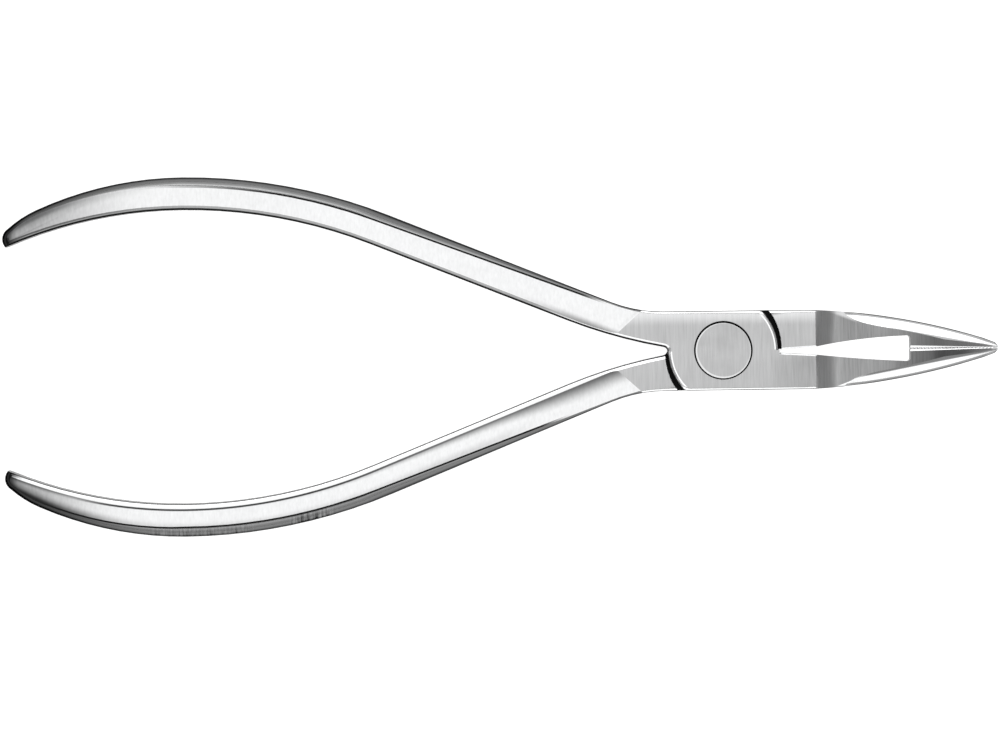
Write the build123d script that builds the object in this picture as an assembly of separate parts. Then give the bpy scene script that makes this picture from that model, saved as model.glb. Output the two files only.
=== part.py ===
from build123d import *
import math
import os

# Orthodontic utility pliers with a half-lap joint, modelled closed and lying on the rear of the joint.
# Millimetres. The pivot is the Z axis, +X runs to the jaw tips and +Y to the front half's handle.
# z = 0 is the rear face of the joint, and the jaw tips curve up towards +Z.

# Joint: two half-thickness laps on one pivot
joint_thickness = 6.8
joint_half_width = 5.6
lap_radius = 7.8  # round end of each lap, about the pivot
lap_corner_radius = 1.0
lap_seam_break = 0.1  # broken edge where the lap's side meets the seam
lap_clearance = 0.02  # between the faces of the two laps
shoulder_gap = 0.4  # from a lap's round end to the shoulder it faces
shoulder_offset = 0.5  # the shoulder's arc is set off sideways, so its gap widens outwards
shoulder_flare = 0.06  # chamfer where a shoulder meets the joint's face

# Pivot rivet: a flush disc head at the front, a staked tail at the rear
rivet_head_radius = 3.95
rivet_head_height = 1.1
rivet_ring_gap = 0.1  # the fine ring round the head
rivet_seat_clearance = 0.03
rivet_shank_radius = 2.5
rivet_shank_clearance = 0.03
rivet_tail_radius = 3.3
rivet_tail_height = 1.0
ring_edge_break = 0.06

# Edges in plan: narrow polished bevels on the joint and inner handle, a wide round on the outer handle
joint_bevel = 0.4
inner_bevel = 0.5
bend_bevel = 1.5
nose_bevel = 0.85

# Handle, outer edge in plan: joint fillet, straight run, bend, then a tightening end
handle_fillet_x = -8.28
handle_fillet_radius = 20.0
handle_peak_x = -75.98
handle_peak_y = 25.35
handle_slope = 22.07  # of the straight run between the joint and the bend
bend_rear_radius = 50.7
nose_start_x = -96.56
nose_sweep_radius = 16.0
nose_sweep_angle = 17.5
nose_bulge = 0.6  # of the rounded end, at mid thickness
nose_face_bulge = 0.36  # the same on the handle's faces
nose_width = 2.65  # across the handle's end
nose_cut_angle = 48.9  # between the end and a square cut

# Handle, inner edge in plan
handle_width = 4.62
inner_peak_shift = -0.14
inner_slope = 21.86
inner_root_radius = 71.0
inner_root_angle = 10.5
notch_overlap = 0.05  # the notch between the two handles ends this far inside the laps' round ends
notch_y = 0.185
notch_radius = 0.8

# Handle faces stand a little below the ground joint, behind a slanting scoop
handle_relief = 0.12
scoop_radius = 6.0
scoop_x = -11.6
scoop_angle = 42.0

# Jaws: a ramp down from the joint, then a tapering nose that curves up
jaw_outline_start = 9.8
ramp_start = 13.0
ramp_radius = 5.5
jaw_front_height = 1.85  # above the seam, at the foot of the ramp
jaw_back_height = 1.57  # below the seam
jaw_swell = 0.25  # the front of the jaw rises by this much before the curve
jaw_back_curve_start = 23.5
jaw_back_radius = 20.0
jaw_back_sweep = 47.5
jaw_front_curve_lag = 0.5  # the front starts to curve this far past the back
tip_half_width = 0.76
tip_thickness = 1.21
tip_lean = 33.1  # of the jaw's section at the tip
tip_shoulder = 0.9  # the blunt tip shrinks to these shares of the jaw's section
tip_round = 0.5
tip_length = 0.035  # as a share of the sweep
jaw_face_slope = 4.0
jaw_bevel = 1.65
jaw_bevel_share = 0.58  # most of the half width that the bevel takes near the tip
jaw_bevel_start = 0.1  # share of the bevel at the foot of the ramp
jaw_bevel_run = 1.8  # length in which most of it grows
jaw_front_bevel_depth = 0.35  # shares of the jaw's thickness
jaw_back_bevel_depth = 0.15
jaw_back_bevel_width = 0.2
jaw_flank_bulge = 0.05

# Window between the jaws, and the serrated gripping faces
window_root_gap = 0.1  # from the laps' round ends
window_root_half = 0.25
window_neck_x = 13.0
window_neck_half = 0.56
window_lean = 0.17  # the window's root lies this far towards the lower jaw
window_bevel = 0.2  # along the root, on both faces
window_bow_x = 20.0
window_bow_half = 1.43
window_end_x = 26.4
window_end_half = 1.82
window_corner = 0.4
grip_gap_rear = 0.06  # from the parting line to the middle of a jaw's teeth
grip_gap_tip = 0.03
grip_bevel_rear = 0.45  # bevel along the front edge of the gripping face
grip_bevel_tip = 0.08
tooth_pitch = 0.5
tooth_depth = 0.12

# Sections along a jaw: shares of its straight part, close together where the bevel grows, and of its curve
JAW_STRAIGHT_STATIONS = (0, 0.07, 0.15, 0.25, 0.38, 0.53, 0.75)
JAW_CURVE_STEPS = 8

seam_z = joint_thickness / 2
lap_floor = seam_z + lap_clearance / 2
window_root = lap_radius + window_root_gap

# Depth below a face, and the share of the handle's round and of the narrow bevels that is left there
BEVEL_LEVELS = (
    (0.0, 1.0, 1.0),
    (0.3, 0.58, 0.3),
    (0.75, 0.26, 0.0),
    (1.3, 0.07, 0.0),
    (2.0, 0.0, 0.0),
)
NARROW_LEVELS = BEVEL_LEVELS[:3]
WINDOW_LEVELS = ((0.0, 0.0, 1.0), (window_bevel, 0.0, 0.0))


def polar(center, radius, angle):
    turn = math.radians(angle)
    return center[0] + radius * math.cos(turn), center[1] + radius * math.sin(turn)


def arc(center, radius, start, end):
    middle = (start + end) / 2
    return ThreePointArc(
        polar(center, radius, start), polar(center, radius, middle), polar(center, radius, end)
    )


def crown_radius(crown, end):
    """Radius of an arc that is level at its crown and runs to the end point."""
    dx = end[0] - crown[0]
    dy = end[1] - crown[1]
    return (dx**2 + dy**2) / (2 * abs(dy))


def bend_radius(crown, slope, foot):
    """Radius of an arc, level at its crown, that meets the line falling at a slope to the foot."""
    fall = math.radians(slope)
    corner_x = foot[0] - (crown[1] - foot[1]) / math.tan(fall)
    return (corner_x - crown[0]) / math.tan(fall / 2)


def fall_angle(low_center, low_radius, high_center, high_radius):
    """Slope of the line that runs down off the low circle's crown and under the high circle."""
    dx = high_center[0] - low_center[0]
    dy = high_center[1] - low_center[1]
    lean = math.degrees(math.atan2(dy, dx))
    return math.degrees(math.asin((low_radius + high_radius) / math.hypot(dx, dy))) - lean


def stack(sections):
    """Solid through plan outlines at rising heights."""
    return loft([Pos(0, 0, z) * face for z, face in sections], ruled=True)


def through_plate(outline, levels):
    """A plate of the joint's thickness with both faces bevelled; outline takes the two shares."""
    rear = [(depth, outline(wide, narrow)) for depth, wide, narrow in levels]
    front = [(joint_thickness - depth, face) for depth, face in reversed(rear)]
    return stack(rear + front)


def flipped(shape):
    """Half a turn about the X axis at the seam: the front half's place to the rear half's."""
    return Pos(0, 0, joint_thickness) * Rot(180, 0, 0) * shape


def handle_outline(wide, narrow):
    """Plan of the handle with its root, drawn in by a share of its bevels."""
    peak = (handle_peak_x, handle_peak_y)
    fillet_center = (handle_fillet_x, joint_half_width + handle_fillet_radius)
    fillet_radius = handle_fillet_radius + joint_bevel * narrow
    fillet_foot = polar(fillet_center, handle_fillet_radius, 270 - handle_slope)
    bend_front_radius = bend_radius(peak, handle_slope, fillet_foot)
    bend_center = (handle_peak_x, handle_peak_y - bend_front_radius)
    bend_front = bend_front_radius - bend_bevel * wide
    outer_fall = fall_angle(bend_center, bend_front, fillet_center, fillet_radius)

    rear_center = (handle_peak_x, handle_peak_y - bend_rear_radius)
    nose_angle = 90 + math.degrees(math.asin((handle_peak_x - nose_start_x) / bend_rear_radius))
    nose_center = polar(rear_center, bend_rear_radius - nose_sweep_radius, nose_angle)
    nose_radius = nose_sweep_radius - nose_bevel * wide
    nose_end = nose_angle + nose_sweep_angle

    def bend_to_nose(angle):
        share = (angle - 90) / (nose_angle - 90)
        inset = (bend_bevel + (nose_bevel - bend_bevel) * share) * wide
        return polar(rear_center, bend_rear_radius - inset, angle)

    inner_x = handle_peak_x + inner_peak_shift
    inner_y = handle_peak_y - handle_width
    inner_peak = (inner_x, inner_y)
    inner_inset = inner_bevel * narrow
    nose_corner = polar(nose_center, nose_sweep_radius, nose_end)
    nose_heel = polar(nose_corner, nose_width, nose_end + 180 - nose_cut_angle)
    nose_lean = nose_heel[0] - nose_corner[0]
    inner_rear_radius = crown_radius(inner_peak, nose_heel)
    inner_rear_center = (inner_x, inner_y - inner_rear_radius)
    inner_rear = inner_rear_radius + inner_inset
    notch_center = (notch_overlap - lap_radius - notch_radius, -notch_y)
    root_center = polar(notch_center, inner_root_radius + notch_radius, 90 - inner_root_angle)
    root_radius = inner_root_radius - inner_inset
    root_foot = polar(root_center, inner_root_radius, 270 - inner_slope)
    inner_front_radius = bend_radius(inner_peak, inner_slope, root_foot)
    inner_front_center = (inner_x, inner_y - inner_front_radius)
    inner_front = inner_front_radius + inner_inset

    nose_top = Vector(*polar(nose_center, nose_radius, nose_end))
    nose_foot_x = nose_top.X + nose_lean * (1 - wide)
    foot_angle = math.degrees(math.acos((nose_foot_x - inner_x) / inner_rear))
    nose_foot = Vector(*polar(inner_rear_center, inner_rear, foot_angle))
    along_end = (nose_foot - nose_top).normalized()
    out_of_end = Vector(along_end.Y, -along_end.X)
    bulge = nose_bulge + (nose_face_bulge - nose_bulge) * wide
    nose_tip = (nose_top + nose_foot) * 0.5 + out_of_end * bulge

    joint_edge = joint_half_width - joint_bevel * narrow
    notch_end = polar(notch_center, notch_radius + inner_inset, 0)
    edges = [
        Line((0, joint_edge), (handle_fillet_x, joint_edge)),
        arc(fillet_center, fillet_radius, 270, 270 - outer_fall),
        Line(
            polar(fillet_center, fillet_radius, 270 - outer_fall),
            polar(bend_center, bend_front, 90 - outer_fall),
        ),
        arc(bend_center, bend_front, 90 - outer_fall, 90),
        ThreePointArc(
            bend_to_nose(90), bend_to_nose((90 + nose_angle) / 2), bend_to_nose(nose_angle)
        ),
        arc(nose_center, nose_radius, nose_angle, nose_end),
        ThreePointArc(nose_top, nose_tip, nose_foot),
        arc(inner_rear_center, inner_rear, foot_angle, 90),
        arc(inner_front_center, inner_front, 90, 90 - inner_slope),
        Line(
            polar(inner_front_center, inner_front, 90 - inner_slope),
            polar(root_center, root_radius, 270 - inner_slope),
        ),
        arc(root_center, root_radius, 270 - inner_slope, 270 - inner_root_angle),
        arc(notch_center, notch_radius + inner_inset, 90 - inner_root_angle, 0),
        Line(notch_end, (0, -notch_y)),
        Line((0, -notch_y), (0, joint_edge)),
    ]
    return Face(Wire(edges))


def scoop():
    """Cutter that lowers the handle's front face behind the slanting edge of the joint."""
    rise = scoop_radius - handle_relief
    run = math.sqrt(scoop_radius**2 - rise**2)
    floor = joint_thickness - handle_relief
    center = (run, floor + scoop_radius)
    lip = 2 * handle_relief
    lip_angle = 180 + math.degrees(math.asin((rise - lip) / scoop_radius))
    reach = 2 * abs(nose_start_x)
    lip_point = polar(center, scoop_radius, lip_angle)
    profile = Wire(
        [
            arc(center, scoop_radius, lip_angle, 270),
            Line((run, floor), (reach, floor)),
            Line((reach, floor), (reach, lip_point[1])),
            Line((reach, lip_point[1]), lip_point),
        ]
    )
    section = Plane.XZ * Face(profile)
    cutter = extrude(section, reach / 2, both=True)
    return Pos(scoop_x, joint_half_width, 0) * Rot(0, 0, 90 + scoop_angle) * cutter


def handle():
    """Upper handle and its root, whose rear lies under the front lap's half of the joint."""
    front_scoop = scoop()
    rear_scoop = mirror(front_scoop, about=Plane.XY.offset(seam_z))
    return through_plate(handle_outline, BEVEL_LEVELS) - front_scoop - rear_scoop


def lap_outline(inset):
    band = Rectangle(4 * lap_radius, 2 * (joint_half_width - inset))
    disc = Circle(lap_radius - inset) & band
    return fillet(disc.vertices(), lap_corner_radius).face()


def lap():
    """The front lap: a flat-sided disc from the seam to the joint's front face."""
    rising = [
        (joint_thickness - depth, lap_outline(joint_bevel * narrow))
        for depth, wide, narrow in reversed(NARROW_LEVELS)
    ]
    seam = [(lap_floor, lap_outline(lap_seam_break)), (lap_floor + lap_seam_break, lap_outline(0))]
    return stack(seam + rising)


def shoulder_wells():
    """Room below the seam for the other half's lap to turn in."""
    radius = lap_radius + shoulder_gap
    profile = Polyline(
        (0, -shoulder_flare),
        (radius + shoulder_flare, -shoulder_flare),
        (radius + shoulder_flare, 0),
        (radius, shoulder_flare),
        (radius, lap_floor),
        (0, lap_floor),
        close=True,
    )
    well = revolve(Plane.XZ * make_face(profile), Axis.Z)
    return Pos(0, shoulder_offset, 0) * well + Pos(0, -shoulder_offset, 0) * well


def jaw_curves():
    """The jaw's back arc and front arc in X and Z, each as center, radius and sweep."""
    back_start = (jaw_back_curve_start, seam_z - jaw_back_height)
    back_center = (back_start[0], back_start[1] + jaw_back_radius)
    back_tip = polar(back_center, jaw_back_radius, jaw_back_sweep - 90)
    front_start = (
        jaw_back_curve_start + jaw_front_curve_lag,
        seam_z + jaw_front_height + jaw_swell,
    )
    front_tip = polar(back_tip, tip_thickness, 90 + tip_lean)
    radius = crown_radius(front_start, front_tip)
    front_center = (front_start[0], front_start[1] + radius)
    sweep = math.degrees(math.asin((front_tip[0] - front_start[0]) / radius))
    return (back_center, jaw_back_radius, jaw_back_sweep), (front_center, radius, sweep)


def along_curve(curve, share):
    center, radius, sweep = curve
    return Vector(*polar(center, radius, sweep * share - 90))


tip_x = along_curve(jaw_curves()[0], 1).X
jaw_outline_radius = crown_radius((jaw_outline_start, joint_half_width), (tip_x, tip_half_width))


def jaw_half_width(x):
    along = max(x - jaw_outline_start, 0)
    return joint_half_width - jaw_outline_radius + math.sqrt(jaw_outline_radius**2 - along**2)


def ramp_cut(depth):
    """Cutter for a ramp that hollows down from the joint's rear face to the given depth."""
    foot = ramp_start + math.sqrt(ramp_radius**2 - (ramp_radius - depth) ** 2)
    center = (foot, depth - ramp_radius)
    start_angle = 180 - math.degrees(math.asin((ramp_radius - depth) / ramp_radius))
    reach = foot + ramp_radius
    profile = Wire(
        [
            arc(center, ramp_radius, start_angle, 90),
            Line((foot, depth), (reach, depth)),
            Line((reach, depth), (reach, -depth)),
            Line((reach, -depth), (ramp_start, -depth)),
            Line((ramp_start, -depth), (ramp_start, 0)),
        ]
    )
    return extrude(Plane.XZ * Face(profile), 2 * joint_half_width, both=True), foot


def jaw_root_outline(end_x, narrow):
    inset = joint_bevel * narrow
    radius = jaw_outline_radius - inset
    center = (jaw_outline_start, joint_half_width - jaw_outline_radius)
    end_angle = math.degrees(math.acos((end_x - jaw_outline_start) / radius))
    edges = [
        Line((0, 0), (end_x, 0)),
        Line((end_x, 0), polar(center, radius, end_angle)),
        arc(center, radius, end_angle, 90),
        Line(polar(center, radius, 90), (0, joint_half_width - inset)),
        Line((0, joint_half_width - inset), (0, 0)),
    ]
    return Face(Wire(edges))


def jaw_section(back, front, half_width, growth, grip_bevel):
    """Half-round section of the upper jaw from a point of its back to one of its front, in X and Z."""
    foot = Vector(back[0], 0, back[1])
    rise = Vector(front[0], 0, front[1]) - foot
    thickness = rise.length
    up = rise.normalized()
    bevel = growth * min(jaw_bevel, jaw_bevel_share * half_width)
    face_half = half_width - bevel
    face_drop = growth * face_half * math.tan(math.radians(jaw_face_slope))
    front_depth = growth * jaw_front_bevel_depth * thickness
    back_depth = growth * jaw_back_bevel_depth * thickness
    back_half = half_width - growth * jaw_back_bevel_width * thickness
    flank_half = half_width - growth * jaw_flank_bulge * thickness
    flank_top = thickness - face_drop - front_depth
    parting = -tooth_depth / 2

    def at(out, height):
        return foot + Vector(0, out, 0) + up * height

    edges = [
        Line(at(parting, 0), at(back_half, 0)),
        Line(at(back_half, 0), at(flank_half, back_depth)),
        ThreePointArc(
            at(flank_half, back_depth),
            at(half_width, (back_depth + flank_top) / 2),
            at(flank_half, flank_top),
        ),
        Line(at(flank_half, flank_top), at(face_half, thickness - face_drop)),
        Line(at(face_half, thickness - face_drop), at(grip_bevel, thickness)),
        Line(at(grip_bevel, thickness), at(parting, thickness - grip_bevel)),
        Line(at(parting, thickness - grip_bevel), at(parting, 0)),
    ]
    return Face(Wire(edges))


def jaw_nose(start_x):
    """The tapering jaw from the foot of the ramp to its blunt, upturned tip."""
    back_z = seam_z - jaw_back_height
    front_z = seam_z + jaw_front_height
    back_curve, front_curve = jaw_curves()
    sections = []
    for share in JAW_STRAIGHT_STATIONS:
        x = start_x + share * (jaw_back_curve_start - start_x)
        grown = 1 - math.exp((start_x - x) / jaw_bevel_run)
        growth = jaw_bevel_start + (1 - jaw_bevel_start) * grown
        front = (x, front_z + jaw_swell * share)
        sections.append(jaw_section((x, back_z), front, jaw_half_width(x), growth, grip_bevel_rear))
    curve = [(step / JAW_CURVE_STEPS, 1) for step in range(JAW_CURVE_STEPS)]
    for share, size in curve + [(1, tip_shoulder), (1 + tip_length, tip_round)]:
        back = along_curve(back_curve, share)
        front = along_curve(front_curve, share)
        middle = (back + front) * 0.5
        back = middle + (back - middle) * size
        front = middle + (front - middle) * size
        half_width = size * jaw_half_width(middle.X)
        grip_bevel = grip_bevel_rear + (grip_bevel_tip - grip_bevel_rear) * min(share, 1)
        sections.append(jaw_section((back.X, back.Y), (front.X, front.Y), half_width, 1, grip_bevel))
    return loft(sections, ruled=True)


def window_cut(phase):
    """Cutter for one jaw's side of the window and for its teeth; phase 1 is the lower jaw's, mirrored."""
    lean = window_lean if phase else -window_lean
    root_half = window_root_half + lean
    neck_half = window_neck_half + lean
    grip_length = tip_x - window_end_x
    teeth = math.ceil(grip_length / tooth_pitch) + 1

    def grip_line(x):
        share = (x - window_end_x) / grip_length
        return grip_gap_rear + (grip_gap_tip - grip_gap_rear) * share

    below = -joint_half_width / 2
    window_edge = [
        Line((window_root, below), (window_root, root_half)),
        Line((window_root, root_half), (window_neck_x, neck_half)),
        ThreePointArc(
            (window_neck_x, neck_half),
            (window_bow_x, window_bow_half),
            (window_end_x, window_end_half),
        ),
    ]
    profile = [(window_end_x, window_end_half)]
    for flank in range(2 * teeth + 1):
        x = window_end_x + flank * tooth_pitch / 2
        side = 1 if (flank + phase) % 2 else -1
        profile.append((x, grip_line(x) + side * tooth_depth / 2))
    profile += [(tip_x + 2 * tooth_pitch, below), (window_root, below)]
    outline = make_face(window_edge + [Polyline(*profile)])
    corner = outline.vertices().sort_by_distance((window_end_x, window_end_half, 0))[0]
    window = extrude(fillet(corner, window_corner), 2 * joint_thickness)

    def root_outline(wide, narrow):
        inset = window_bevel * narrow
        end_x = window_neck_x + window_bevel
        points = [
            (window_root, below),
            (window_root, root_half + inset),
            (window_neck_x, neck_half + inset),
            (end_x, neck_half + inset),
            (end_x, below),
        ]
        return make_face(Polyline(*points, close=True))

    return window + through_plate(root_outline, WINDOW_LEVELS)


def jaw(phase):
    """Upper jaw, from its block in the joint to the tip."""
    rear_ramp, rear_foot = ramp_cut(seam_z - jaw_back_height)
    front_ramp, front_foot = ramp_cut(seam_z - jaw_front_height)
    start_x = max(rear_foot, front_foot)
    block = through_plate(lambda wide, narrow: jaw_root_outline(start_x, narrow), NARROW_LEVELS)
    root = block - rear_ramp - mirror(front_ramp, about=Plane.XY.offset(seam_z))
    return root + jaw_nose(start_x) - window_cut(phase)


def pivot_rivet():
    head_z = joint_thickness - rivet_head_height
    profile = Polyline(
        (0, 0),
        (rivet_tail_radius, 0),
        (rivet_shank_radius, rivet_tail_height),
        (rivet_shank_radius, head_z),
        (rivet_head_radius, head_z),
        (rivet_head_radius, joint_thickness - ring_edge_break),
        (rivet_head_radius - ring_edge_break, joint_thickness),
        (0, joint_thickness),
        close=True,
    )
    return revolve(Plane.XZ * make_face(profile), Axis.Z)


def rivet_bore():
    """The front lap's running hole and the counterbore round the rivet's head."""
    seat_z = joint_thickness - rivet_head_height - rivet_seat_clearance
    hole = rivet_shank_radius + rivet_shank_clearance
    counterbore = rivet_head_radius + rivet_ring_gap
    profile = Polyline(
        (0, 0),
        (hole, 0),
        (hole, seat_z),
        (counterbore, seat_z),
        (counterbore, joint_thickness - ring_edge_break),
        (counterbore + ring_edge_break, joint_thickness),
        (0, joint_thickness),
        close=True,
    )
    return revolve(Plane.XZ * make_face(profile), Axis.Z)


wells = shoulder_wells()
lever = handle() - wells + lap()
upper_jaw = jaw(0)
lower_jaw = mirror(jaw(1), about=Plane.XZ)
rivet = pivot_rivet()

nodes = {
    "front_half": lever + (lower_jaw - wells) - rivet_bore(),
    "rear_half": flipped(lever) + (upper_jaw - flipped(wells)) - rivet,
    "pivot_rivet": rivet,
}

os.makedirs("parts", exist_ok=True)
for name, solid in nodes.items():
    export_step(solid, f"parts/{name}.step")
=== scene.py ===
import math

import bmesh
import bpy
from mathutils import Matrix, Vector


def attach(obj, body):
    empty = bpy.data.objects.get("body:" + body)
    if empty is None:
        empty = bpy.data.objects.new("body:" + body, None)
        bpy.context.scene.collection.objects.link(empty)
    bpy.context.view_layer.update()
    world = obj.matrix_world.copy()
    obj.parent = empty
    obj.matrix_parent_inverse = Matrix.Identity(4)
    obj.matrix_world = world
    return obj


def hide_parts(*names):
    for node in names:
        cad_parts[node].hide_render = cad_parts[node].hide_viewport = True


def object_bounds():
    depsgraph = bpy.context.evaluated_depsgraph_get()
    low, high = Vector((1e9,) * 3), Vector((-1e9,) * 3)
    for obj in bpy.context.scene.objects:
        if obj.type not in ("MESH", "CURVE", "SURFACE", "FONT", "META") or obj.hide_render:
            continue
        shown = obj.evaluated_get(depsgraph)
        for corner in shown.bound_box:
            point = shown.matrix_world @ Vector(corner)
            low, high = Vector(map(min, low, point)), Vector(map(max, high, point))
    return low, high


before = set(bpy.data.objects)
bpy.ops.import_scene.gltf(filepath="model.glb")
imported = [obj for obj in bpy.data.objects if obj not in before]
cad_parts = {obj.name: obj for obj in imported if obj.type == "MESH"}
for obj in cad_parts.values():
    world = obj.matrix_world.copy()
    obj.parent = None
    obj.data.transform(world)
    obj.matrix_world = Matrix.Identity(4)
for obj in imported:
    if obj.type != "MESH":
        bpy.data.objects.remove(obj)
cad_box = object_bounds()


# Front half: the upper handle, the front lap of the joint and the lower jaw in one forging.
# Stainless steel: the joint and jaws are ground flat across their length, the handles are satin
# blasted, and every edge is broken on a polishing wheel. The rivet holds it to the other half.

MERGE_DISTANCE = 2e-6
FLAT_ANGLE = math.radians(0.5)
CREASE_ANGLE = math.radians(23)
BEVEL_ANGLE = math.radians(60)
LEVEL_FACE = 0.9999
EDGE_LEVEL = 0.95
HANDLE_FACE_X = -0.03
HANDLE_FACE_AREA = 1e-4
JOINT_START_X = -0.012
JAW_START_X = 0.0128
JOINT_SIDE_Y = 0.0045
CREASE_SHADE_WIDTH = 2.5e-4


def is_handle_face(face):
    level = abs(face.normal.z) > LEVEL_FACE
    behind_joint = face.calc_center_median().x < HANDLE_FACE_X
    return level and behind_joint and face.calc_area() > HANDLE_FACE_AREA


def is_sharp(edge):
    """Creases stay sharp; the narrow bevels along the joint's sides are shaded as rounds."""
    middle = (edge.verts[0].co + edge.verts[1].co) / 2
    on_side = JOINT_START_X < middle.x < JAW_START_X and abs(middle.y) > JOINT_SIDE_Y
    return edge.calc_face_angle(math.pi) > (BEVEL_ANGLE if on_side else CREASE_ANGLE)


def faces_out(face):
    """Whether a face looks away from the gap between the handles."""
    return face.normal.y * face.calc_center_median().y > 0


def finished_skin(node, piece_name):
    """The node's shape as one closed skin, with a narrow border round the handles' faces that marks where
    lines of shade are painted in their creases.
    """
    skin = bmesh.new()
    skin.from_mesh(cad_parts[node].data)
    bmesh.ops.remove_doubles(skin, verts=skin.verts, dist=MERGE_DISTANCE)
    bmesh.ops.dissolve_limit(skin, angle_limit=FLAT_ANGLE, verts=skin.verts, edges=skin.edges)
    outer_shade_line = skin.faces.layers.float.new("outer_shade_line")
    inner_shade_line = skin.faces.layers.float.new("inner_shade_line")
    handle_faces = [face for face in skin.faces if is_handle_face(face)]
    border = bmesh.ops.inset_region(
        skin, faces=handle_faces, thickness=CREASE_SHADE_WIDTH, use_even_offset=True, use_boundary=True
    )
    for face in border["faces"]:
        neighbours = [other for edge in face.edges for other in edge.link_faces]
        for other in neighbours:
            if abs(other.normal.z) < EDGE_LEVEL:
                face[outer_shade_line if faces_out(other) else inner_shade_line] = 1.0
    many_sided = [face for face in skin.faces if len(face.verts) > 4]
    bmesh.ops.triangulate(skin, faces=many_sided, ngon_method="BEAUTY")
    for face in skin.faces:
        face.smooth = True
    for edge in skin.edges:
        edge.smooth = not is_sharp(edge)
    mesh = bpy.data.meshes.new(piece_name)
    skin.to_mesh(mesh)
    skin.free()
    piece = bpy.data.objects.new(piece_name, mesh)
    bpy.context.scene.collection.objects.link(piece)
    even = piece.modifiers.new("even_normals", "WEIGHTED_NORMAL")
    even.keep_sharp = True
    return piece


NOISE_MIDDLE = 0.5
NOISE_DETAIL = 2.0


class Field:
    """A value that varies over a surface: one socket of a material's nodes, for use in expressions."""

    def __init__(self, tree, socket):
        self.tree = tree
        self.socket = socket

    def node(self, kind, settings=None, sockets=None, output=0):
        """Adds a node, sets its settings, then its sockets, and gives one of its outputs."""
        node = self.tree.nodes.new(kind)
        for name, value in (settings or {}).items():
            setattr(node, name, value)
        for name, value in (sockets or {}).items():
            if isinstance(value, Field):
                self.tree.links.new(value.socket, node.inputs[name])
            else:
                node.inputs[name].default_value = value
        return Field(self.tree, node.outputs[output])

    def math(self, operation, *values):
        return self.node("ShaderNodeMath", {"operation": operation}, dict(enumerate(values)))

    def __add__(self, other):
        return self.math("ADD", self, other)

    __radd__ = __add__

    def __sub__(self, other):
        return self.math("SUBTRACT", self, other)

    def __rsub__(self, other):
        return self.math("SUBTRACT", other, self)

    def __mul__(self, other):
        return self.math("MULTIPLY", self, other)

    __rmul__ = __mul__

    def __abs__(self):
        return self.math("ABSOLUTE", self)

    def larger(self, other):
        return self.math("MAXIMUM", self, other)

    def length(self, other):
        """Length of the line whose two sides are this and other."""
        return self.math("SQRT", self * self + other * other)

    def rise(self, low, high):
        """0 below low, 1 above high, with a smooth rise between."""
        limits = {"Value": self, "From Min": low, "From Max": high}
        return self.node("ShaderNodeMapRange", {"interpolation_type": "SMOOTHSTEP"}, limits)

    def fall(self, low, high):
        """1 below low, 0 above high, with a smooth fall between."""
        return 1 - self.rise(low, high)

    def blend(self, low, high):
        """low where this is 0, high where it is 1."""
        return low + self * (high - low)

    def grain(self, spacing):
        """Streaks of noise about 0, from a place in millimetres and their spacing along X, Y and Z."""
        scale = tuple(1 / step for step in spacing)
        place = self.node("ShaderNodeVectorMath", {"operation": "MULTIPLY"}, {0: self, 1: scale})
        settings = {"Vector": place, "Scale": 1.0, "Detail": NOISE_DETAIL}
        return self.node("ShaderNodeTexNoise", None, settings) - NOISE_MIDDLE

    def xyz(self):
        split = self.node("ShaderNodeSeparateXYZ", None, {0: self})
        sockets = split.socket.node.outputs
        return [Field(self.tree, socket) for socket in sockets]


MILLIMETRES = (1000.0, 1000.0, 1000.0)
GRAZING_TINT = (0.2, 0.2, 0.2, 1.0)


def steel_surface(name):
    """A new metal: its shader, and the place in millimetres and the outward direction to paint it by."""
    material = bpy.data.materials.new(name)
    material.use_nodes = True
    tree = material.node_tree
    shader = tree.nodes["Principled BSDF"]
    shader.inputs["Metallic"].default_value = 1.0
    shader.inputs["Specular Tint"].default_value = GRAZING_TINT
    coordinates = tree.nodes.new("ShaderNodeTexCoord")
    metres = Field(tree, coordinates.outputs["Object"])
    place = metres.node("ShaderNodeVectorMath", {"operation": "MULTIPLY"}, {0: metres, 1: MILLIMETRES})
    outward = Field(tree, coordinates.outputs["Normal"])
    return material, shader, place, outward


BLUE_CAST = 0.005
COARSE_SHARE = 0.6
GRIND_DEPTH = 4e-6


def paint(shader, tone, roughness, grind, fine_grind):
    """Joins a grey tone, a roughness and the relief of the grinding lines to the shader."""
    tree = tone.tree
    red_green_blue = {0: tone * (1 - BLUE_CAST), 1: tone, 2: tone * (1 + BLUE_CAST)}
    grey = tone.node("ShaderNodeCombineColor", None, red_green_blue)
    tree.links.new(grey.socket, shader.inputs["Base Color"])
    tree.links.new(roughness.socket, shader.inputs["Roughness"])
    relief = grind * COARSE_SHARE + fine_grind * (1 - COARSE_SHARE)
    bump = relief.node("ShaderNodeBump", None, {"Height": relief, "Strength": 1.0, "Distance": GRIND_DEPTH})
    tree.links.new(bump.socket, shader.inputs["Normal"])


# The finish, with the light and shade painted into it, is laid out by place in millimetres, with tones from
# 0 for black to 1 for white

POLISHED_TONE = 0.95
# Painted shade: the dark outline along edges of the joint, the jaws and the lower handle's inner bevel
OUTLINE_SHADE_TONE = 0.3
# Painted shade: the darkest tone, for the handles' ends and the line along the upper handle's inner edge
DEEP_SHADE_TONE = 0.025

# A handle's outer and inner edge in plan: its peak, the radii behind and before it, the slope of the run
OUTER_EDGE = (-75.98, 25.35, 50.7, 77.3, math.radians(22.07))
INNER_EDGE = (-76.12, 20.73, 64.3, 71.4, math.radians(21.86))
BEND_BLUR = 0.01


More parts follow.
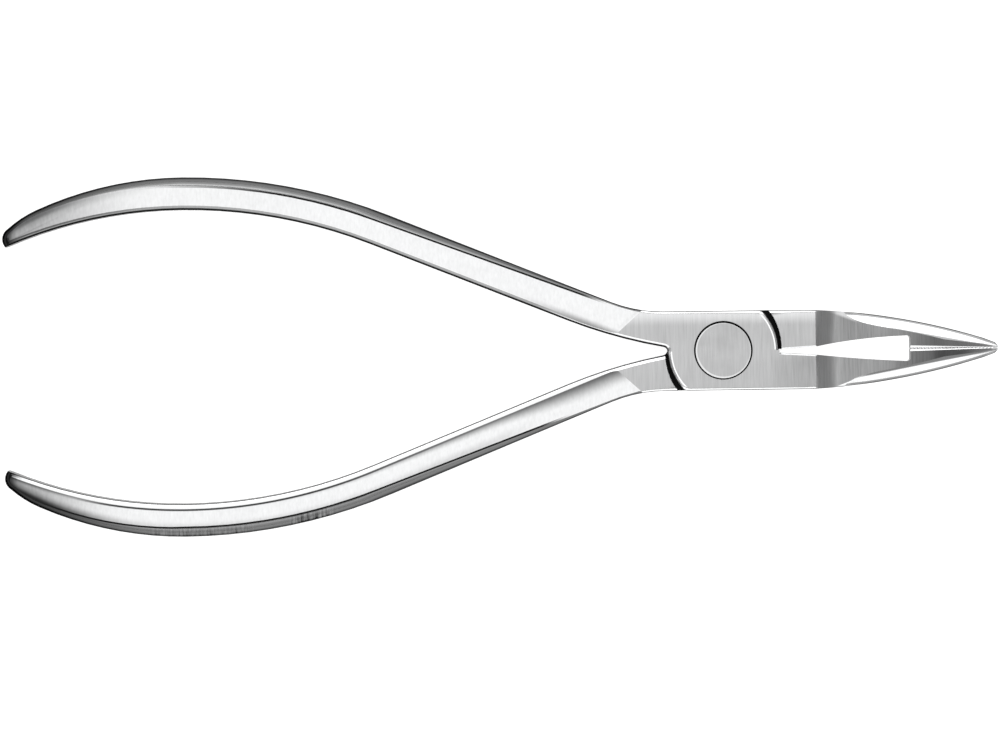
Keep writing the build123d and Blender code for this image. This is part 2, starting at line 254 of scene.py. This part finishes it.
def inside_edge(x, side, edge):
    """Distance inwards from a handle's edge, which bends over a peak into a straight run to the joint."""
    peak_x, peak_y, rear_radius, front_radius, slope = edge
    along = x - peak_x
    drop = side - peak_y
    lean_x = math.sin(slope)
    lean_y = math.cos(slope)
    behind = rear_radius - along.length(drop + rear_radius)
    before = front_radius - along.length(drop + front_radius)
    run = front_radius - along * lean_x - (drop + front_radius) * lean_y
    past_peak = along.rise(-BEND_BLUR, BEND_BLUR)
    past_bend = (along * lean_y - (drop + front_radius) * lean_x).rise(-BEND_BLUR, BEND_BLUR)
    return past_bend.blend(past_peak.blend(behind, before), run)


SHADE_START = 0.4
LOWER_SHADE_WIDTH = 1.1
LOWER_SHADE_SPREAD = 1.2
LOWER_ROOT_SPREAD = 0.9
UPPER_SHADE_WIDTH = 1.5
LOWER_INNER_SHADE = 0.88
UPPER_INNER_SHADE = 0.65


def inner_shade(x, upper, from_inner):
    """Shade inside a handle's inner edge: all along the lower handle, only at the upper one's root."""
    run = x.rise(-85, -15)
    lower_root = x.rise(-34, -18)
    upper_root = x.rise(-30, -19)
    lower_width = run * run * LOWER_SHADE_SPREAD + lower_root * LOWER_ROOT_SPREAD + LOWER_SHADE_WIDTH
    width = upper.blend(lower_width, UPPER_SHADE_WIDTH)
    strength = upper.blend(LOWER_INNER_SHADE, upper_root * UPPER_INNER_SHADE)
    return from_inner.fall(SHADE_START, width) * strength


LOWER_END_SHADE = 0.35
LOWER_RUN_SHADE = 0.25
UPPER_END_SHADE = 0.25


def outer_shade(x, upper, from_outer):
    """Shade inside a handle's outer edge: at the handle's end, and fainter all along the lower one."""
    lower_end = x.fall(-92, -80)
    lower_run = x.fall(-36, -24)
    upper_end = x.fall(-90, -78)
    lower_strength = lower_end * LOWER_END_SHADE + lower_run * LOWER_RUN_SHADE
    strength = upper.blend(lower_strength, upper_end * UPPER_END_SHADE)
    return from_outer.fall(1.2, 2.3) * strength


HANDLE_TONE = 0.87
# Painted shade: the tone that a handle's face darkens to at its end
HANDLE_END_SHADE_TONE = 0.38
STRIP_NARROWING = 0.15
LOWER_CORNER_SHADE = 0.85
UPPER_CORNER_SHADE = 0.55
NOSE_SHADE = 0.8


def handle_face(x, upper, from_outer, from_inner, streaks):
    """Satin face of a handle, with painted shade at its end and along its edges, and a painted highlight
    for the bright inner strip on the lower one.
    """
    end = upper.blend(x.fall(-101, -84), x.fall(-101, -79))
    satin = (end.blend(HANDLE_TONE, HANDLE_END_SHADE_TONE) + streaks) * (1 - inner_shade(x, upper, from_inner))
    # Painted highlight: a bright strip along the lower handle's inner edge
    strip_end = x.fall(-98, -84)
    strip = (from_inner + strip_end * STRIP_NARROWING).fall(0.6, 0.72) * (1 - upper)
    corner = from_outer.fall(1.0, 1.6) * x.fall(-97, -86)
    corner_shade = corner * upper.blend(LOWER_CORNER_SHADE, UPPER_CORNER_SHADE)
    # Painted shade: the very end of a handle's face goes dark
    nose = x.fall(-100.6, -99.2)
    edge_shade = (1 - outer_shade(x, upper, from_outer)) * (1 - corner_shade) * (1 - nose * NOSE_SHADE)
    return strip.blend(satin, POLISHED_TONE) * edge_shade


# A handle's outer round, in painted light and shade: its tone at the side and at the top, the painted
# highlight on its crease, the painted shade that darkens its end
LOWER_BAND_SHADING = (0.13, 0.17, 0.22, 0.75)
UPPER_BAND_SHADING = (0.08, 0.15, 0.36, 0.52)
LONG_MARKS = 0.35
SHORT_MARKS = 0.63


def handle_band(x, upper, level, marks):
    """The wide round along the outside of a handle, with painted shade where it turns to the side and at
    its end, a painted highlight at its crease, and a few grinding marks.
    """
    side_tone, top_tone, crest_light, end_shade = [
        upper.blend(lower_value, upper_value) for lower_value, upper_value in zip(LOWER_BAND_SHADING, UPPER_BAND_SHADING)
    ]
    turned = level.rise(0.1, 0.8)
    crest = level.rise(0.8, 0.92)
    end = x.fall(-99, -78)
    tone = (turned.blend(side_tone, top_tone) + crest * crest_light) * (1 - end * end_shade)
    long_patch = x.rise(-82, -79) * x.fall(-69, -65)
    short_patch = x.rise(-62, -60) * x.fall(-57, -54)
    return tone + (long_patch * LONG_MARKS + short_patch * SHORT_MARKS) * (1 - upper) * marks


INNER_CREASE_SHADE = 0.92
UPPER_STRIP_SHADE = 0.55
UPPER_STRIP_END_SHADE = 0.75


def painted_crease_lines(x, upper, from_inner, place):
    """Strength of the painted shade lines in the creases round the handles' faces: along the outside, and
    inside each one.
    """
    outer_shade_line = place.node("ShaderNodeAttribute", {"attribute_name": "outer_shade_line"}, None, "Fac")
    inner_shade_line = place.node("ShaderNodeAttribute", {"attribute_name": "inner_shade_line"}, None, "Fac")
    upper_reach = x.rise(-86, -62) * x.fall(-20, -16)
    lower_reach = x.rise(-99, -94) * x.fall(-26, -21)
    outer_crease = outer_shade_line * upper.blend(lower_reach, upper_reach)
    beside_strip = from_inner.rise(0.64, 0.72) * from_inner.fall(0.88, 0.98)
    inner_reach = x.rise(-93, -86) * x.fall(-60, -22)
    inner_crease = beside_strip * inner_reach * (1 - upper) * INNER_CREASE_SHADE
    strip_reach = x.fall(-27, -21)
    strip_end = x.fall(-90, -76)
    upper_strip_shade = inner_shade_line * upper * strip_reach * strip_end.blend(UPPER_STRIP_SHADE, UPPER_STRIP_END_SHADE)
    return outer_crease + inner_crease + upper_strip_shade


JOINT_TONE = 0.45
UPPER_EDGE_LIGHT = 0.23
LOWER_FRONT_SHADE = 0.1


def joint_face(x, y, streaks):
    """Ground face of the joint, with painted light along its upper edge and painted shade at its lower
    front.
    """
    upper_edge = y.rise(3.4, 5.4)
    lower_front = x.rise(5, 12) * y.fall(-2, 1)
    return JOINT_TONE + upper_edge * UPPER_EDGE_LIGHT - lower_front * LOWER_FRONT_SHADE + streaks


JAW_TONE = 0.255
TIP_SHADE_TONE = 0.09
TIP_LIGHT = 0.42
RAMP_LIGHT = 0.29
LOWER_JAW_LIGHT = 0.15
LOWER_JAW_SHADE = 0.12
LOWER_TIP_SHADE = 0.35
STREAK_FADE = 0.75


def jaw_face(x, y, streaks):
    """Ramp and front of a jaw, in painted light and shade: darkest where it curves up before the tip, the
    lower one more so, lighter on the ramp and towards the tip.
    """
    ramp = x.fall(14.9, 17.0)
    curve = x.rise(21, 33)
    tip = x.rise(29.5, 37.5)
    lower = y.fall(-0.5, 0.5)
    lower_curve = x.rise(19, 28)
    lower_tip = x.rise(29, 31) * x.fall(33.5, 36)
    front = curve.blend(JAW_TONE, TIP_SHADE_TONE) + tip * TIP_LIGHT
    shade = lower_curve.blend(LOWER_JAW_LIGHT, -LOWER_JAW_SHADE) - lower_tip * LOWER_TIP_SHADE
    return front * (1 + lower * shade) + ramp * RAMP_LIGHT + streaks * (1 - curve * STREAK_FADE)


JOINT_HALF_WIDTH = 5.6
JAW_CURVE_X = 9.8
JAW_CURVE_RADIUS = 86.4


def inside_jaw(x, side):
    """Distance inwards from a jaw's outer edge, one long curve from the joint to the tip."""
    return JAW_CURVE_RADIUS - (x - JAW_CURVE_X).length(side + JAW_CURVE_RADIUS - JOINT_HALF_WIDTH)


FLANK_LEAN = 0.19
UPPER_FLANK_SHIFT = 0.2


def jaw_flank_shade(x, side, upper):
    """A strip of painted shade along a jaw's polished bevel, next to its front."""
    reach = upper.blend(x.rise(17, 21), x.rise(22.5, 25))
    beside_front = (side + x * FLANK_LEAN + upper * UPPER_FLANK_SHIFT).fall(7.57, 7.77)
    return beside_front * reach


WEDGE_X = 15.6
WEDGE_LEAN = 0.28
UPPER_WEDGE_LIGHT = 0.5


def bevel_start_highlight(x, upper, from_curve):
    """Where a jaw's bevel runs out on the ramp, a painted highlight: a bright wedge below, a soft one
    above.
    """
    inside = from_curve - (x - WEDGE_X) * WEDGE_LEAN
    lower_wedge = inside.fall(0, 0.08) * from_curve.rise(0.1, 0.2)
    upper_wedge = inside.fall(0.1, 0.6) * UPPER_WEDGE_LIGHT
    reach = x.rise(14, WEDGE_X) * x.fall(18, 19.5)
    return upper.blend(lower_wedge, upper_wedge) * reach


RAMP_X = 13.0
EDGE_BLUR = 0.1
JOINT_SIDE_TONE = 0.42
JOINT_SIDE_MARKS = 0.25
UPPER_FLANK_SHADE_TONE = 0.3
LOWER_FLANK_SHADE_TONE = 0.19
BEVEL_START_SHADE_TONE = 0.3
WINDOW_SHADE_TONE = 0.5


def joint_edge(x, side, upper, level, depth, outer, marks):
    """Edges of the joint and jaws: cross-ground sides, polished bevels and the walls of the window, with
    painted shade for a dark outline along the sides' edges and the jaws, on the bevels where they start,
    and deeper down the window's walls.
    """
    on_jaw = (x - RAMP_X).rise(-EDGE_BLUR, EDGE_BLUR)
    past_ramp = x.rise(14.2, 16.8)
    # Painted shade: a darker strip on the jaws' bevels beside their fronts
    flank = jaw_flank_shade(x, side, upper) * outer
    flank_shade_tone = upper.blend(LOWER_FLANK_SHADE_TONE, UPPER_FLANK_SHADE_TONE)
    jaw_bevel = flank.blend(past_ramp.blend(BEVEL_START_SHADE_TONE, POLISHED_TONE), flank_shade_tone)
    bevel_tone = on_jaw.blend(POLISHED_TONE, jaw_bevel)
    ground_side = level.fall(0.04, 0.12) * depth.rise(0.5, 0.9) * x.fall(RAMP_X, 20)
    side_tone = ground_side.blend(OUTLINE_SHADE_TONE, JOINT_SIDE_TONE + marks * JOINT_SIDE_MARKS)
    bevel = level.rise(0.38, 0.48)
    # Painted shade: a dark outline along each jaw's outer edge
    rim = inside_jaw(x, side).fall(0.34, 0.48) * x.rise(15.6, 17.6)
    outside = rim.blend(bevel.blend(side_tone, bevel_tone), OUTLINE_SHADE_TONE)
    window = x.rise(8, 8.2) * x.fall(26.6, 26.8) * side.fall(1.95, 2.05)
    # Painted shade: the window's side walls darker deeper down
    window_wall = level.fall(0.1, 0.3) * x.fall(25.6, 26.1) * depth.rise(0.6, 0.9)
    return window.blend(outside, window_wall.blend(POLISHED_TONE, WINDOW_SHADE_TONE))


UPPER_EDGE_SHADE_TONE = 0.36


def inner_edge(x, upper, level, depth):
    """Inner edges of the handles: polished bevels, bright on the lower one with a painted dark outline, and
    on the upper one greyer in painted shade with a dark line, bright only at its root.
    """
    lower_bevel = level.rise(0.1, 0.25)
    upper_line = depth.rise(0.16, 0.22)
    upper_root = x.rise(-27, -21)
    upper_bevel_tone = upper_root.blend(UPPER_EDGE_SHADE_TONE, POLISHED_TONE)
    return upper.blend(
        lower_bevel.blend(OUTLINE_SHADE_TONE, POLISHED_TONE),
        upper_line.blend(upper_bevel_tone, DEEP_SHADE_TONE),
    )


WALL_TONE = 0.34
WALL_MARKS = 0.15


def edge_tone(x, side, upper, level, depth, outer, handle, marks):
    """Everything that isn't a face: the joint's and jaws' edges, and the handles' edges and walls, with
    painted shade at the handles' ends.
    """
    inner = inner_edge(x, upper, level, depth)
    root = x.fall(-8, -7.6) * (1 - outer)
    before_handle = root.blend(joint_edge(x, side, upper, level, depth, outer, marks), inner)
    # Painted shade: the handles' ends go dark
    nose = x.fall(-100.6, -97.5)
    handle_edge = nose.blend(outer.blend(inner, handle_band(x, upper, level, marks)), DEEP_SHADE_TONE)
    wall = level.fall(0.04, 0.35) * depth.rise(0.5, 1.2) * root.larger(handle)
    near_joint = x.rise(-36, -12) * outer
    wall_tone = near_joint.blend(WALL_TONE, JOINT_SIDE_TONE) + marks * WALL_MARKS
    return wall.blend(handle.blend(before_handle, handle_edge), wall_tone)


SEAM_Z = 3.4
SCOOP_X = -11.6
SCOOP_LEAN = 1.11
RAMP_BLUR = 0.05
LAP_RADIUS = 7.8
RING_RADIUS = 4.13
RING_BLUR = 0.027
RING_SHIFT = 0.05

GRIND_SPACING = (0.22, 5.0, 5.0)
FINE_GRIND_SPACING = (0.09, 2.5, 2.5)
SATIN_SPACING = (0.3, 0.8, 0.8)
CLOUD_SPACING = (7.0, 5.0, 5.0)
MARK_SPACING = (0.3, 3.0, 3.0)
GRIND_CONTRAST = 0.16
FINE_GRIND_CONTRAST = 0.12
CLOUD_CONTRAST = 0.1
SATIN_CONTRAST = 0.18
SATIN_CLOUD_CONTRAST = 0.06

LAP_TONE = 0.3
SHOULDER_SHADE_TONE = 0.12
CREASE_SHADE_TONE = 0.015
GAP_SHADE_TONE = 0.008

GROUND_ROUGHNESS = 0.3
BLASTED_ROUGHNESS = 0.42
POLISHED_ROUGHNESS = 0.2
LAP_EDGE_ROUGHNESS = 0.6
ROUGHNESS_GRAIN = 0.12


def satin_steel():
    material, shader, place, outward = steel_surface("satin_steel")
    x, y, z = place.xyz()
    out_y, out_z = outward.xyz()[1:]
    level = abs(out_z)
    side = abs(y)
    upper = y.rise(-1, 1)
    from_seam = abs(z - SEAM_Z)
    depth = SEAM_Z - from_seam
    from_outer = inside_edge(x, side, OUTER_EDGE)
    from_inner = 0 - inside_edge(x, side, INNER_EDGE)

    grind = place.grain(GRIND_SPACING)
    fine_grind = place.grain(FINE_GRIND_SPACING)
    satin = place.grain(SATIN_SPACING)
    cloud = place.grain(CLOUD_SPACING)
    marks = place.grain(MARK_SPACING)
    ground = grind * GRIND_CONTRAST + fine_grind * FINE_GRIND_CONTRAST + cloud * CLOUD_CONTRAST
    blasted = satin * SATIN_CONTRAST + cloud * SATIN_CLOUD_CONTRAST

    scoop_line = (side - JOINT_HALF_WIDTH) * SCOOP_LEAN + SCOOP_X
    handle = (scoop_line - x).rise(-EDGE_BLUR, EDGE_BLUR)
    jaw = (x - RAMP_X).rise(-RAMP_BLUR, RAMP_BLUR)
    flat = level.rise(0.93, 0.97)
    jaw_front = abs(out_y).fall(0.15, 0.3) * level.rise(0.4, 0.6)
    face = jaw.blend(flat, jaw_front)
    outer = (out_y * y).rise(-0.02, 0.02)

    # Painted highlight: a bright wedge where each jaw's bevel runs out on its ramp
    wedge = bevel_start_highlight(x, upper, inside_jaw(x, side))
    jaw_tone = wedge.blend(jaw_face(x, y, ground), POLISHED_TONE)
    ground_tone = jaw.blend(joint_face(x, y, ground), jaw_tone)
    blasted_tone = handle_face(x, upper, from_outer, from_inner, blasted)
    face_tone = handle.blend(ground_tone, blasted_tone)

    # The laps are round about the pivot: their rims and gaps go by the distance inwards from that round. A
    # painted highlight runs along each lap's rim on the face beside the gap, and painted shade fills the
    # gaps.
    inside_lap = LAP_RADIUS - x.length(y)
    beside_gap = (x * y * out_z).rise(0, 1) * side.fall(5.0, 5.2)
    lap_rim_highlight = beside_gap * inside_lap.rise(0.357, 0.397) * inside_lap.fall(0.547, 0.617)
    edge = edge_tone(x, side, upper, level, depth, outer, handle, marks)
    surface = face.blend(edge, lap_rim_highlight.blend(face_tone, POLISHED_TONE))
    lap = from_seam.fall(0.05, 0.12) * face
    # Painted shade: the shoulder walls beside the laps are dark
    shoulder = level.fall(0.1, 0.2) * inside_lap.rise(-0.918, -0.685) * side.fall(5.35, 5.45)
    covered = shoulder.blend(lap.blend(surface, LAP_TONE + ground), SHOULDER_SHADE_TONE)

    # Painted shade: dark lines in the creases round the handles' faces
    crease = painted_crease_lines(x, upper, from_inner, place) * level.rise(0.99, 0.995) * handle
    # Painted shade: black in the gaps at the laps' rims and round the rivet, thicker at the ring's top
    lap_gap_shade = lap * inside_lap.fall(0.52, 0.729)
    rear_face = flat * z.fall(3, 4)
    from_ring = x.length(y - RING_SHIFT) - RING_RADIUS
    rivet_gap_shade = from_ring.fall(-RING_BLUR, RING_BLUR) * (1 - rear_face)
    gap = lap_gap_shade.larger(rivet_gap_shade)
    tone = gap.blend(crease.blend(covered, CREASE_SHADE_TONE), GAP_SHADE_TONE)

    lap_edge = inside_lap.rise(-0.074, -0.01) * inside_lap.fall(0.384, 0.52) * beside_gap
    edge_roughness = lap_edge.blend(POLISHED_ROUGHNESS, LAP_EDGE_ROUGHNESS)
    face_roughness = handle.blend(GROUND_ROUGHNESS, BLASTED_ROUGHNESS)
    roughness = face.blend(edge_roughness, face_roughness) + fine_grind * ROUGHNESS_GRAIN
    paint(shader, tone, roughness, grind, fine_grind)
    return material


steel = satin_steel()

front_half = finished_skin("front_half", "front_half_forging")
front_half.data.materials.append(steel)
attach(front_half, "front_half")
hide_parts("front_half")


# Rear half: the lower handle, the rear lap and the upper jaw, a second forging of the same steel.
# It is the front half turned over, ground and polished with it, and carries the staked rivet.

rear_half = finished_skin("rear_half", "rear_half_forging")
rear_half.data.materials.append(steel)
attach(rear_half, "rear_half")
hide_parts("rear_half")


# Pivot rivet: a plain steel disc in the front lap's counterbore, with its shank staked at the back.
# Its head is ground flush together with the joint, so the same grinding lines run over it.

RIVET_TONE = 0.43
RIM_LIGHT = 0.25
RIM_SHIFT = 0.075
TAIL_LINE_TONE = 0.08
RIVET_GRIND_SPACING = (0.2, 4.0, 4.0)
RIVET_FINE_SPACING = (0.08, 2.0, 2.0)
RIVET_CLOUD_SPACING = (4.0, 3.0, 3.0)
RIVET_GRIND_CONTRAST = 0.14
RIVET_FINE_CONTRAST = 0.1
RIVET_CLOUD_CONTRAST = 0.17


def rivet_steel():
    material, shader, place, outward = steel_surface("rivet_steel")
    x, y, z = place.xyz()
    level = abs(outward.xyz()[2])
    face = level.rise(0.93, 0.99)
    grind = place.grain(RIVET_GRIND_SPACING)
    fine_grind = place.grain(RIVET_FINE_SPACING)
    cloud = place.grain(RIVET_CLOUD_SPACING)
    streaks = grind * RIVET_GRIND_CONTRAST + fine_grind * RIVET_FINE_CONTRAST + cloud * RIVET_CLOUD_CONTRAST
    # Painted highlight: a light rim round the edge of the rivet's face, set off to one side
    rim = (x - RIM_SHIFT).length(y - RIM_SHIFT).rise(3.689, 3.796)
    tail_line = x.length(y).rise(3.194, 3.24) * z.fall(1, 2)
    ground_tone = RIVET_TONE + streaks + rim * RIM_LIGHT
    # Painted shade: all but the rivet's flat faces is black
    tone = face.blend(GAP_SHADE_TONE, tail_line.blend(ground_tone, TAIL_LINE_TONE))
    roughness = GROUND_ROUGHNESS + fine_grind * ROUGHNESS_GRAIN
    paint(shader, tone, roughness, grind, fine_grind)
    return material


rivet = finished_skin("pivot_rivet", "pivot_rivet_ground")
rivet.data.materials.append(rivet_steel())
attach(rivet, "rear_half")
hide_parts("pivot_rivet")


# Floor: a plain white studio table that the rear of the joint rests on.
# It is a diffuse white sheet that also glows for the camera and in reflections, so it reads as white.

FLOOR_SPAN = 6.0
FLOOR_GAP = 2e-5
FLOOR_WHITE = (0.8, 0.8, 0.8, 1.0)
FLOOR_GLOW = 0.85


def white_table():
    material = bpy.data.materials.new("white_table")
    material.use_nodes = True
    tree = material.node_tree
    tree.nodes.clear()
    output = tree.nodes.new("ShaderNodeOutputMaterial")
    rays = tree.nodes.new("ShaderNodeLightPath")
    camera = Field(tree, rays.outputs["Is Camera Ray"])
    glossy = Field(tree, rays.outputs["Is Glossy Ray"])
    through = Field(tree, rays.outputs["Is Transmission Ray"])
    seen = camera.larger(glossy.larger(through))
    sheet = camera.node("ShaderNodeBsdfDiffuse", None, {"Color": FLOOR_WHITE})
    glow = camera.node("ShaderNodeEmission", None, {"Strength": FLOOR_GLOW})
    lit = camera.node("ShaderNodeAddShader", None, {0: sheet, 1: glow})
    surface = camera.node("ShaderNodeMixShader", None, {0: seen, 1: sheet, 2: lit})
    tree.links.new(surface.socket, output.inputs["Surface"])
    return material


table_mesh = bpy.data.meshes.new("table")
table_form = bmesh.new()
bmesh.ops.create_grid(table_form, x_segments=1, y_segments=1, size=FLOOR_SPAN / 2)
bmesh.ops.translate(table_form, verts=table_form.verts, vec=(0, 0, cad_box[0][2] - FLOOR_GAP))
table_form.to_mesh(table_mesh)
table_form.free()
table = bpy.data.objects.new("table", table_mesh)
bpy.context.scene.collection.objects.link(table)
table.data.materials.append(white_table())


# Studio light: a wide softbox overhead, a long strip box low on each side, and a pale room.
# The ends of the room stay darker, so that the ramps, jaw tips and handle ends fall off in tone.

OVERHEAD_HEIGHT = 0.75
OVERHEAD_SIZE = (0.75, 0.95)
OVERHEAD_BRIGHTNESS = 1.0
STRIP_DISTANCE = 0.7
STRIP_SIZE = (1.6, 0.4)
STRIP_HEIGHT = 0.24
UPPER_BRIGHTNESS = 1.6
LOWER_BRIGHTNESS = 0.95
ROOM_BRIGHTNESS = 0.3
ROOM_WHITE = (1.0, 1.0, 1.0, 1.0)


def softbox(name, place, aim, size, brightness):
    """A rectangular lamp whose face shows the given brightness."""
    lamp = bpy.data.lights.new(name, "AREA")
    lamp.shape = "RECTANGLE"
    lamp.size, lamp.size_y = size
    lamp.energy = math.pi * size[0] * size[1] * brightness
    box = bpy.data.objects.new(name, lamp)
    box.location = place
    box.rotation_euler = (Vector(aim) - Vector(place)).to_track_quat("-Z", "Y").to_euler()
    bpy.context.scene.collection.objects.link(box)


middle = (Vector(cad_box[0]) + Vector(cad_box[1])) / 2
overhead_place = (middle.x, middle.y, OVERHEAD_HEIGHT)
softbox("overhead_box", overhead_place, middle, OVERHEAD_SIZE, OVERHEAD_BRIGHTNESS)
for name, direction, brightness in (
    ("upper_strip_shade", 1, UPPER_BRIGHTNESS),
    ("lower_strip", -1, LOWER_BRIGHTNESS),
):
    strip_place = (middle.x, middle.y + direction * STRIP_DISTANCE, STRIP_HEIGHT)
    strip_aim = (middle.x, middle.y, STRIP_HEIGHT)
    softbox(name, strip_place, strip_aim, STRIP_SIZE, brightness)


def pale_room():
    """White for the camera, and a fainter white that lights the pliers."""
    world = bpy.data.worlds.new("pale_room")
    world.use_nodes = True
    tree = world.node_tree
    background = tree.nodes["Background"]
    rays = tree.nodes.new("ShaderNodeLightPath")
    camera = Field(tree, rays.outputs["Is Camera Ray"])
    strength = camera.blend(ROOM_BRIGHTNESS, 1.0)
    background.inputs["Color"].default_value = ROOM_WHITE
    tree.links.new(strength.socket, background.inputs["Strength"])
    return world


bpy.context.scene.world = pale_room()
bpy.context.scene.view_settings.view_transform = "Standard"


# Camera: straight above the front face and a little towards its upper side, far off, so that the inner
# side of the lower handle just shows, with the small turn that the pliers have in the frame.

LENS = 240.0
SENSOR = 36.0
FRAME_WIDTH = 0.1407
AIM = (-0.03146, -0.00277)
FACE_HEIGHT = 0.0068
FRAME_TURN = math.radians(-0.7)
LIFT = 0.012

view = bpy.data.cameras.new("camera")
view.lens = LENS
view.sensor_width = SENSOR
view.shift_y = -LIFT / FRAME_WIDTH
camera = bpy.data.objects.new("camera", view)
camera.location = (
    AIM[0] - LIFT * math.sin(FRAME_TURN),
    AIM[1] + LIFT * math.cos(FRAME_TURN),
    FACE_HEIGHT + FRAME_WIDTH * LENS / SENSOR,
)
camera.rotation_euler = (0, 0, FRAME_TURN)
bpy.context.scene.collection.objects.link(camera)
bpy.context.scene.camera = camera
